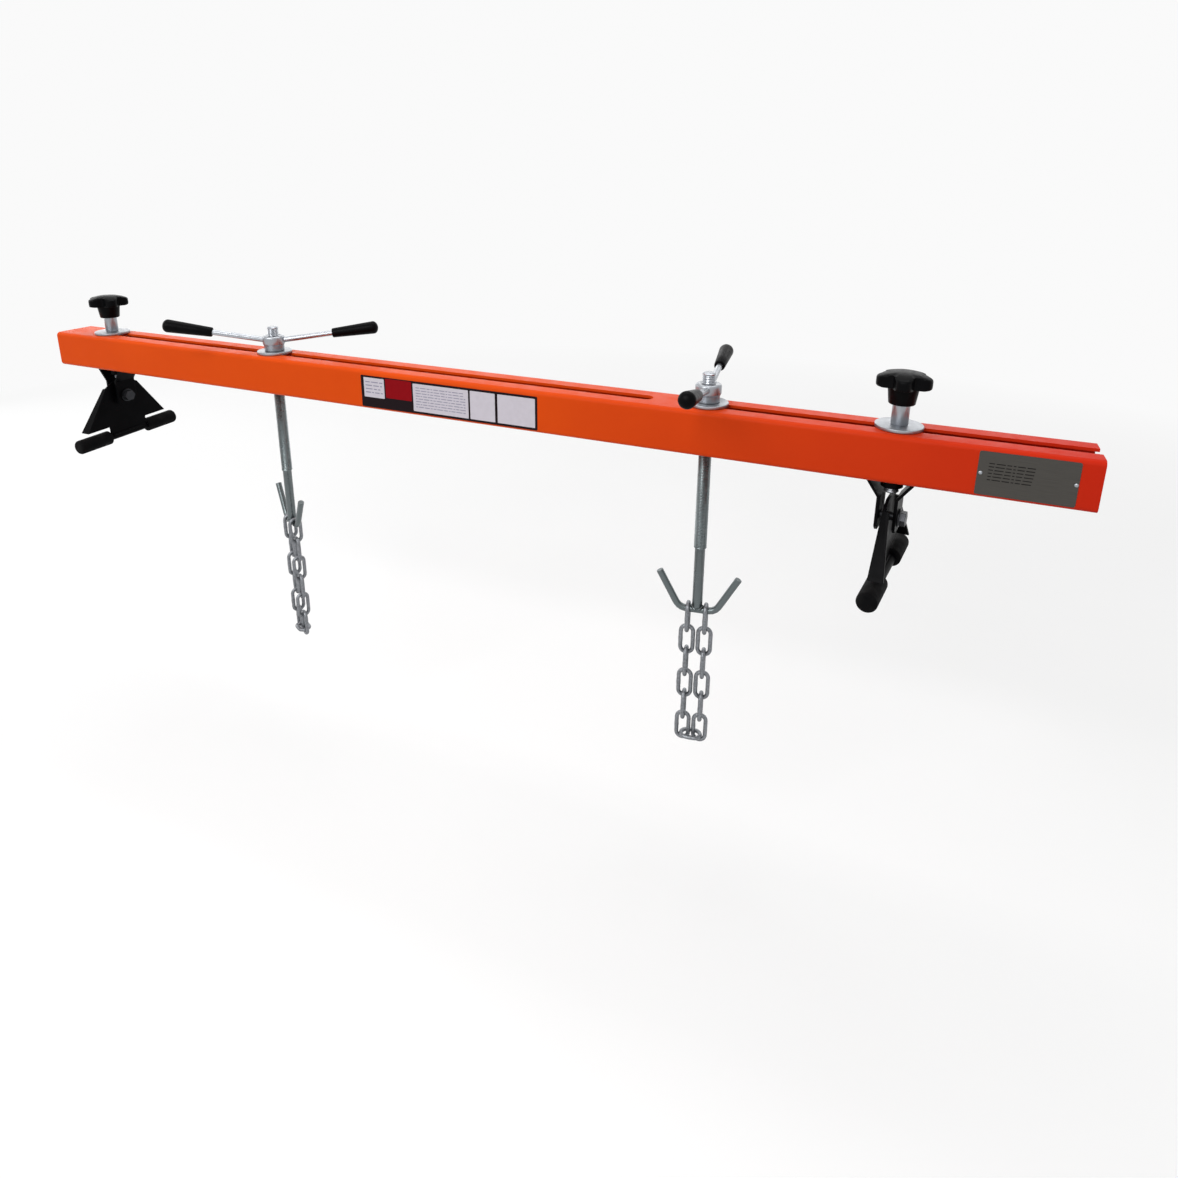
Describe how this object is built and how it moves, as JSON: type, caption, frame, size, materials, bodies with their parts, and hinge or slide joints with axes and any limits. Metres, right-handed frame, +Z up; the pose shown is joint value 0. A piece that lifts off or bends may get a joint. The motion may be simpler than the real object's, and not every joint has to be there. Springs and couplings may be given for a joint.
{
  "type": "engine support bar",
  "caption": "Slotted rectangular steel beam on clamped T-bar feet, with screw-adjusted double hooks and chain loops that hold an engine from above.",
  "frame": {"origin": "middle of the beam's section at half the beam's length", "axes": "+X along the beam to the end with the rating plate, +Y away from the labelled front face, +Z up"},
  "size_m": [1.5, 0.3003, 0.5345],
  "materials": {
    "orange_powder_coat": "semi-gloss orange powder coat",
    "black_powder_coat": "satin black powder coat",
    "black_plastic": "satin moulded plastic",
    "black_rubber": "matt rubber",
    "bright_zinc": "bright zinc plate",
    "dull_zinc": "dull zinc plate",
    "galvanised_chain": "galvanised steel"
  },
  "bodies": {
    "beam": {"beam_tube": "orange_powder_coat"},
    "left_support_carriage": {"left_clamp_washer": "bright_zinc"},
    "left_clamp_knob": {"left_star_knob": "black_plastic", "left_clamp_stud": "bright_zinc"},
    "left_bracket": {"left_support_bracket": "black_powder_coat", "left_pivot_bolt": "black_powder_coat"},
    "left_foot": {"left_foot_frame": "black_powder_coat", "left_sleeve_front": "black_rubber", "left_sleeve_back": "black_rubber"},
    "left_lift_carriage": {"left_slide_washer": "bright_zinc"},
    "left_handle": {"left_handle_nut": "bright_zinc", "left_lever_one": "bright_zinc", "left_lever_two": "bright_zinc", "left_grip_one": "black_plastic", "left_grip_two": "black_plastic"},
    "left_screw": {"left_lifting_screw": "dull_zinc", "left_double_hook": "dull_zinc"},
    "left_chain_a1": {"left_chain_a1": "galvanised_chain"},
    "left_chain_a2": {"left_chain_a2": "galvanised_chain"},
    "left_chain_a3": {"left_chain_a3": "galvanised_chain"},
    "left_chain_a4": {"left_chain_a4": "galvanised_chain"},
    "left_chain_a5": {"left_chain_a5": "galvanised_chain"},
    "left_chain_a6": {"left_chain_a6": "galvanised_chain"},
    "left_chain_b1": {"left_chain_b1": "galvanised_chain"},
    "left_chain_b2": {"left_chain_b2": "galvanised_chain"},
    "left_chain_b3": {"left_chain_b3": "galvanised_chain"},
    "left_chain_b4": {"left_chain_b4": "galvanised_chain"},
    "left_chain_b5": {"left_chain_b5": "galvanised_chain"},
    "left_chain_b6": {"left_chain_b6": "galvanised_chain"},
    "left_chain_closing": {"left_chain_closing": "galvanised_chain"},
    "right_support_carriage": {"right_clamp_washer": "bright_zinc"},
    "right_clamp_knob": {"right_star_knob": "black_plastic", "right_clamp_stud": "bright_zinc"},
    "right_bracket": {"right_support_bracket": "black_powder_coat", "right_pivot_bolt": "black_powder_coat"},
    "right_foot": {"right_foot_frame": "black_powder_coat", "right_sleeve_front": "black_rubber", "right_sleeve_back": "black_rubber"},
    "right_lift_carriage": {"right_slide_washer": "bright_zinc"},
    "right_handle": {"right_handle_nut": "bright_zinc", "right_lever_one": "bright_zinc", "right_lever_two": "bright_zinc", "right_grip_one": "black_plastic", "right_grip_two": "black_plastic"},
    "right_screw": {"right_lifting_screw": "dull_zinc", "right_double_hook": "dull_zinc"},
    "right_chain_a1": {"right_chain_a1": "galvanised_chain"},
    "right_chain_a2": {"right_chain_a2": "galvanised_chain"},
    "right_chain_a3": {"right_chain_a3": "galvanised_chain"},
    "right_chain_a4": {"right_chain_a4": "galvanised_chain"},
    "right_chain_a5": {"right_chain_a5": "galvanised_chain"},
    "right_chain_a6": {"right_chain_a6": "galvanised_chain"},
    "right_chain_b1": {"right_chain_b1": "galvanised_chain"},
    "right_chain_b2": {"right_chain_b2": "galvanised_chain"},
    "right_chain_b3": {"right_chain_b3": "galvanised_chain"},
    "right_chain_b4": {"right_chain_b4": "galvanised_chain"},
    "right_chain_b5": {"right_chain_b5": "galvanised_chain"},
    "right_chain_b6": {"right_chain_b6": "galvanised_chain"},
    "right_chain_closing": {"right_chain_closing": "galvanised_chain"}
  },
  "joints": [
    {"name": "left_support_slide", "type": "slide", "parent": "beam", "child": "left_support_carriage", "axis": [1, 0, 0], "range_m": [-0.025, 0.14]},
    {"name": "left_knob_turn", "type": "hinge", "parent": "left_support_carriage", "child": "left_clamp_knob", "pos_m": [-0.66, 0, 0.06], "axis": [0, 0, 1], "continuous": true},
    {"name": "left_foot_swivel", "type": "hinge", "parent": "left_support_carriage", "child": "left_bracket", "pos_m": [-0.66, 0, -0.03], "axis": [0, 0, 1], "continuous": true},
    {"name": "left_foot_tilt", "type": "hinge", "parent": "left_bracket", "child": "left_foot", "pos_m": [-0.66, 0, -0.0765], "axis": [1, 0, 0], "range_deg": [-20, 20]},
    {"name": "left_lift_slide", "type": "slide", "parent": "beam", "child": "left_lift_carriage", "axis": [1, 0, 0], "range_m": [-0.14, 0.49]},
    {"name": "left_handle_turn", "type": "hinge", "parent": "left_lift_carriage", "child": "left_handle", "pos_m": [-0.315, 0, 0.045], "axis": [0, 0, 1], "range_deg": [-2160, 28080]},
    {"name": "left_screw_lift", "type": "slide", "parent": "left_lift_carriage", "child": "left_screw", "axis": [0, 0, 1], "range_m": [-0.0121, 0.1561]},
    {"name": "left_chain_a1_swing", "type": "hinge", "parent": "left_screw", "child": "left_chain_a1", "pos_m": [-0.32498, 0.0053, -0.246], "axis": [0.8829, -0.4695, 0], "range_deg": [-60, 60]},
    {"name": "left_chain_a2_swing", "type": "hinge", "parent": "left_chain_a1", "child": "left_chain_a2", "pos_m": [-0.32498, 0.0053, -0.27125], "axis": [0.8829, -0.4695, 0], "range_deg": [-30, 30]},
    {"name": "left_chain_a3_swing", "type": "hinge", "parent": "left_chain_a2", "child": "left_chain_a3", "pos_m": [-0.32498, 0.0053, -0.30985], "axis": [0.8829, -0.4695, 0], "range_deg": [-30, 30]},
    {"name": "left_chain_a4_swing", "type": "hinge", "parent": "left_chain_a3", "child": "left_chain_a4", "pos_m": [-0.32498, 0.0053, -0.33685], "axis": [0.8829, -0.4695, 0], "range_deg": [-30, 30]},
    {"name": "left_chain_a5_swing", "type": "hinge", "parent": "left_chain_a4", "child": "left_chain_a5", "pos_m": [-0.32498, 0.0053, -0.37545], "axis": [0.8829, -0.4695, 0], "range_deg": [-30, 30]},
    {"name": "left_chain_a6_swing", "type": "hinge", "parent": "left_chain_a5", "child": "left_chain_a6", "pos_m": [-0.32498, 0.0053, -0.40245], "axis": [0.8829, -0.4695, 0], "range_deg": [-30, 30]},
    {"name": "left_chain_b1_swing", "type": "hinge", "parent": "left_screw", "child": "left_chain_b1", "pos_m": [-0.30502, -0.0053, -0.246], "axis": [0.8829, -0.4695, 0], "range_deg": [-60, 60]},
    {"name": "left_chain_b2_swing", "type": "hinge", "parent": "left_chain_b1", "child": "left_chain_b2", "pos_m": [-0.30502, -0.0053, -0.27125], "axis": [0.8829, -0.4695, 0], "range_deg": [-30, 30]},
    {"name": "left_chain_b3_swing", "type": "hinge", "parent": "left_chain_b2", "child": "left_chain_b3", "pos_m": [-0.30502, -0.0053, -0.30985], "axis": [0.8829, -0.4695, 0], "range_deg": [-30, 30]},
    {"name": "left_chain_b4_swing", "type": "hinge", "parent": "left_chain_b3", "child": "left_chain_b4", "pos_m": [-0.30502, -0.0053, -0.33685], "axis": [0.8829, -0.4695, 0], "range_deg": [-30, 30]},
    {"name": "left_chain_b5_swing", "type": "hinge", "parent": "left_chain_b4", "child": "left_chain_b5", "pos_m": [-0.30502, -0.0053, -0.37545], "axis": [0.8829, -0.4695, 0], "range_deg": [-30, 30]},
    {"name": "left_chain_b6_swing", "type": "hinge", "parent": "left_chain_b5", "child": "left_chain_b6", "pos_m": [-0.30502, -0.0053, -0.40245], "axis": [0.8829, -0.4695, 0], "range_deg": [-30, 30]},
    {"name": "left_chain_closing_swing", "type": "hinge", "parent": "left_chain_a6", "child": "left_chain_closing", "pos_m": [-0.315, 0, -0.43466], "axis": [0.8829, -0.4695, 0], "range_deg": [-15, 15]},
    {"name": "right_support_slide", "type": "slide", "parent": "beam", "child": "right_support_carriage", "axis": [1, 0, 0], "range_m": [-0.15, 0.16]},
    {"name": "right_knob_turn", "type": "hinge", "parent": "right_support_carriage", "child": "right_clamp_knob", "pos_m": [0.559, 0, 0.06], "axis": [0, 0, 1], "continuous": true},
    {"name": "right_foot_swivel", "type": "hinge", "parent": "right_support_carriage", "child": "right_bracket", "pos_m": [0.559, 0, -0.03], "axis": [0, 0, 1], "continuous": true},
    {"name": "right_foot_tilt", "type": "hinge", "parent": "right_bracket", "child": "right_foot", "pos_m": [0.559, 0, -0.0765], "axis": [0.989, -0.1478, 0], "range_deg": [-20, 20]},
    {"name": "right_lift_slide", "type": "slide", "parent": "beam", "child": "right_lift_carriage", "axis": [1, 0, 0], "range_m": [-0.01, 0.15]},
    {"name": "right_handle_turn", "type": "hinge", "parent": "right_lift_carriage", "child": "right_handle", "pos_m": [0.346, 0, 0.045], "axis": [0, 0, 1], "range_deg": [-2160, 28080]},
    {"name": "right_screw_lift", "type": "slide", "parent": "right_lift_carriage", "child": "right_screw", "axis": [0, 0, 1], "range_m": [-0.0121, 0.1561]},
    {"name": "right_chain_a1_swing", "type": "hinge", "parent": "right_screw", "child": "right_chain_a1", "pos_m": [0.33481, -0.00157, -0.246], "axis": [0.9903, 0.1392, 0], "range_deg": [-60, 60]},
    {"name": "right_chain_a2_swing", "type": "hinge", "parent": "right_chain_a1", "child": "right_chain_a2", "pos_m": [0.33481, -0.00157, -0.27125], "axis": [0.9903, 0.1392, 0], "range_deg": [-30, 30]},
    {"name": "right_chain_a3_swing", "type": "hinge", "parent": "right_chain_a2", "child": "right_chain_a3", "pos_m": [0.33481, -0.00157, -0.30985], "axis": [0.9903, 0.1392, 0], "range_deg": [-30, 30]},
    {"name": "right_chain_a4_swing", "type": "hinge", "parent": "right_chain_a3", "child": "right_chain_a4", "pos_m": [0.33481, -0.00157, -0.33685], "axis": [0.9903, 0.1392, 0], "range_deg": [-30, 30]},
    {"name": "right_chain_a5_swing", "type": "hinge", "parent": "right_chain_a4", "child": "right_chain_a5", "pos_m": [0.33481, -0.00157, -0.37545], "axis": [0.9903, 0.1392, 0], "range_deg": [-30, 30]},
    {"name": "right_chain_a6_swing", "type": "hinge", "parent": "right_chain_a5", "child": "right_chain_a6", "pos_m": [0.33481, -0.00157, -0.40245], "axis": [0.9903, 0.1392, 0], "range_deg": [-30, 30]},
    {"name": "right_chain_b1_swing", "type": "hinge", "parent": "right_screw", "child": "right_chain_b1", "pos_m": [0.35719, 0.00157, -0.246], "axis": [0.9903, 0.1392, 0], "range_deg": [-60, 60]},
    {"name": "right_chain_b2_swing", "type": "hinge", "parent": "right_chain_b1", "child": "right_chain_b2", "pos_m": [0.35719, 0.00157, -0.27125], "axis": [0.9903, 0.1392, 0], "range_deg": [-30, 30]},
    {"name": "right_chain_b3_swing", "type": "hinge", "parent": "right_chain_b2", "child": "right_chain_b3", "pos_m": [0.35719, 0.00157, -0.30985], "axis": [0.9903, 0.1392, 0], "range_deg": [-30, 30]},
    {"name": "right_chain_b4_swing", "type": "hinge", "parent": "right_chain_b3", "child": "right_chain_b4", "pos_m": [0.35719, 0.00157, -0.33685], "axis": [0.9903, 0.1392, 0], "range_deg": [-30, 30]},
    {"name": "right_chain_b5_swing", "type": "hinge", "parent": "right_chain_b4", "child": "right_chain_b5", "pos_m": [0.35719, 0.00157, -0.37545], "axis": [0.9903, 0.1392, 0], "range_deg": [-30, 30]},
    {"name": "right_chain_b6_swing", "type": "hinge", "parent": "right_chain_b5", "child": "right_chain_b6", "pos_m": [0.35719, 0.00157, -0.40245], "axis": [0.9903, 0.1392, 0], "range_deg": [-30, 30]},
    {"name": "right_chain_closing_swing", "type": "hinge", "parent": "right_chain_a6", "child": "right_chain_closing", "pos_m": [0.346, 0, -0.43466], "axis": [0.9903, 0.1392, 0], "range_deg": [-15, 15]}
  ],
  "couplings": [
    {"joint": "left_screw_lift", "follows": "left_handle_turn", "m_per_rad": 0.00031831},
    {"joint": "left_chain_b1_swing", "follows": "left_chain_a1_swing", "ratio": 1},
    {"joint": "left_chain_b2_swing", "follows": "left_chain_a2_swing", "ratio": 1},
    {"joint": "left_chain_b3_swing", "follows": "left_chain_a3_swing", "ratio": 1},
    {"joint": "left_chain_b4_swing", "follows": "left_chain_a4_swing", "ratio": 1},
    {"joint": "left_chain_b5_swing", "follows": "left_chain_a5_swing", "ratio": 1},
    {"joint": "left_chain_b6_swing", "follows": "left_chain_a6_swing", "ratio": 1},
    {"joint": "right_screw_lift", "follows": "right_handle_turn", "m_per_rad": 0.00031831},
    {"joint": "right_chain_b1_swing", "follows": "right_chain_a1_swing", "ratio": 1},
    {"joint": "right_chain_b2_swing", "follows": "right_chain_a2_swing", "ratio": 1},
    {"joint": "right_chain_b3_swing", "follows": "right_chain_a3_swing", "ratio": 1},
    {"joint": "right_chain_b4_swing", "follows": "right_chain_a4_swing", "ratio": 1},
    {"joint": "right_chain_b5_swing", "follows": "right_chain_a5_swing", "ratio": 1},
    {"joint": "right_chain_b6_swing", "follows": "right_chain_a6_swing", "ratio": 1}
  ]
}
